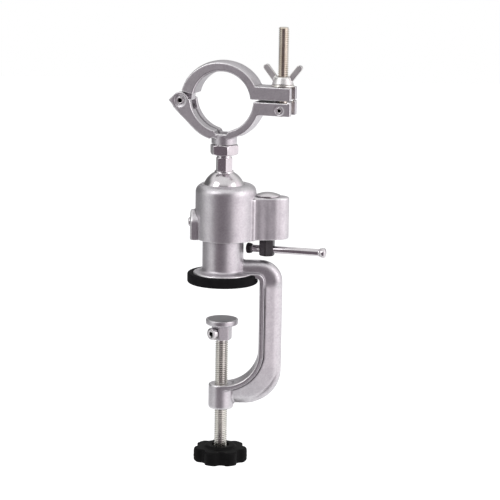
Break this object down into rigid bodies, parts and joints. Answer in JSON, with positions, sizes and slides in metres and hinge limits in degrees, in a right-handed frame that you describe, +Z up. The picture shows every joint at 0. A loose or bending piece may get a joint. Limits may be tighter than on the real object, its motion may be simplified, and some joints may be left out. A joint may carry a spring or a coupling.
{
  "type": "swivel bench vise",
  "caption": "Ring clamp that holds round tools, on a lockable ball joint above a C-clamp for the edge of a bench.",
  "frame": {"origin": "centre of the rubber pad's underside, where it bears on the bench top", "axes": "+Z up along the post, +X towards the leg of the C-clamp; the ring's clamp arms point 18 degrees from +X towards -Y"},
  "size_m": [0.0996, 0.0444, 0.2748],
  "materials": {
    "cast_aluminium": "satin blasted casting",
    "chrome": "bright plated",
    "zinc_steel": "bright zinc plated",
    "yellow_zinc": "yellow zinc plated",
    "dark_steel": "blackened",
    "rubber": "matte",
    "black_plastic": "fine moulded grain",
    "sintered_bronze": "sintered"
  },
  "bodies": {
    "frame": {"c_frame": "cast_aluminium", "rubber_pad": "rubber", "clamp_cap": "cast_aluminium", "fulcrum_screw": "chrome", "lock_dome_nut": "chrome"},
    "lock_slide": {"lock_washer": "zinc_steel"},
    "lock_spindle": {"lock_screw": "dark_steel"},
    "bar": {"tommy_bar": "chrome", "bar_cap_inner": "dark_steel", "bar_cap_outer": "chrome"},
    "seat": {"ball_seat": "sintered_bronze"},
    "stud": {"ball_stud": "chrome"},
    "nut": {"jam_nut": "chrome"},
    "ring": {"lower_jaw": "cast_aluminium", "hinge_pin": "chrome", "eye_pin": "chrome"},
    "gate": {"upper_jaw": "cast_aluminium"},
    "bolt": {"eye_bolt": "yellow_zinc"},
    "wing_slide": {"wing_washer": "zinc_steel"},
    "wing": {"wing_nut": "zinc_steel"},
    "foot": {"clamp_foot": "cast_aluminium", "foot_set_screw": "chrome"},
    "spindle": {"clamp_screw": "zinc_steel", "knob_insert": "zinc_steel", "hand_knob": "black_plastic"}
  },
  "joints": [
    {"name": "foot_lift", "type": "slide", "parent": "frame", "child": "foot", "axis": [0, 0, 1], "range_m": [-0.0283, 0.0232]},
    {"name": "screw_turn", "type": "hinge", "parent": "foot", "child": "spindle", "pos_m": [0, 0, -0.0367], "axis": [0, 0, 1], "range_deg": [-8160, 6690]},
    {"name": "lock_drop", "type": "slide", "parent": "frame", "child": "lock_slide", "axis": [0, 0, -1], "range_m": [0, 0.00036]},
    {"name": "lock_turn", "type": "hinge", "parent": "lock_slide", "child": "lock_spindle", "pos_m": [0.0274, 0, 0.0249], "axis": [0, 0, -1], "range_deg": [0, 130]},
    {"name": "bar_slide", "type": "slide", "parent": "lock_spindle", "child": "bar", "axis": [0.9659, -0.2588, 0], "range_m": [-0.0005, 0.0042]},
    {"name": "ball_swivel", "type": "hinge", "parent": "frame", "child": "seat", "pos_m": [0, 0, 0.05785], "axis": [0, 0, 1], "continuous": true},
    {"name": "ball_tilt", "type": "hinge", "parent": "seat", "child": "stud", "pos_m": [0, 0, 0.05785], "axis": [0.309, 0.9511, 0], "range_deg": [-40, 40]},
    {"name": "nut_turn", "type": "hinge", "parent": "stud", "child": "nut", "pos_m": [0, 0, 0.0839], "axis": [0, 0, -1], "range_deg": [0, 120]},
    {"name": "ring_turn", "type": "hinge", "parent": "stud", "child": "ring", "pos_m": [0, 0, 0.0892], "axis": [0, 0, 1], "range_deg": [-180, 180]},
    {"name": "gate_open", "type": "hinge", "parent": "ring", "child": "gate", "pos_m": [-0.02568, 0.00834, 0.11345], "axis": [-0.309, -0.9511, 0], "range_deg": [0, 25.2]},
    {"name": "bolt_lean", "type": "hinge", "parent": "ring", "child": "bolt", "pos_m": [0.03519, -0.01143, 0.11045], "axis": [-0.309, -0.9511, 0], "range_deg": [0, 12.7]},
    {"name": "wing_lift", "type": "slide", "parent": "bolt", "child": "wing_slide", "axis": [0, 0, 1], "range_m": [0, 0.0301]},
    {"name": "wing_spin", "type": "hinge", "parent": "wing_slide", "child": "wing", "pos_m": [0.03519, -0.01143, 0.1259], "axis": [0, 0, 1], "range_deg": [0, 10840]}
  ],
  "couplings": [
    {"joint": "screw_turn", "follows": "foot_lift", "rad_per_m": 5026.5},
    {"joint": "lock_turn", "follows": "lock_drop", "rad_per_m": 6283.2},
    {"joint": "wing_spin", "follows": "wing_lift", "rad_per_m": 6283.2},
    {"joint": "gate_open", "follows": "wing_lift", "rad_per_m": 14.496},
    {"joint": "bolt_lean", "follows": "wing_lift", "rad_per_m": 7.2479}
  ]
}
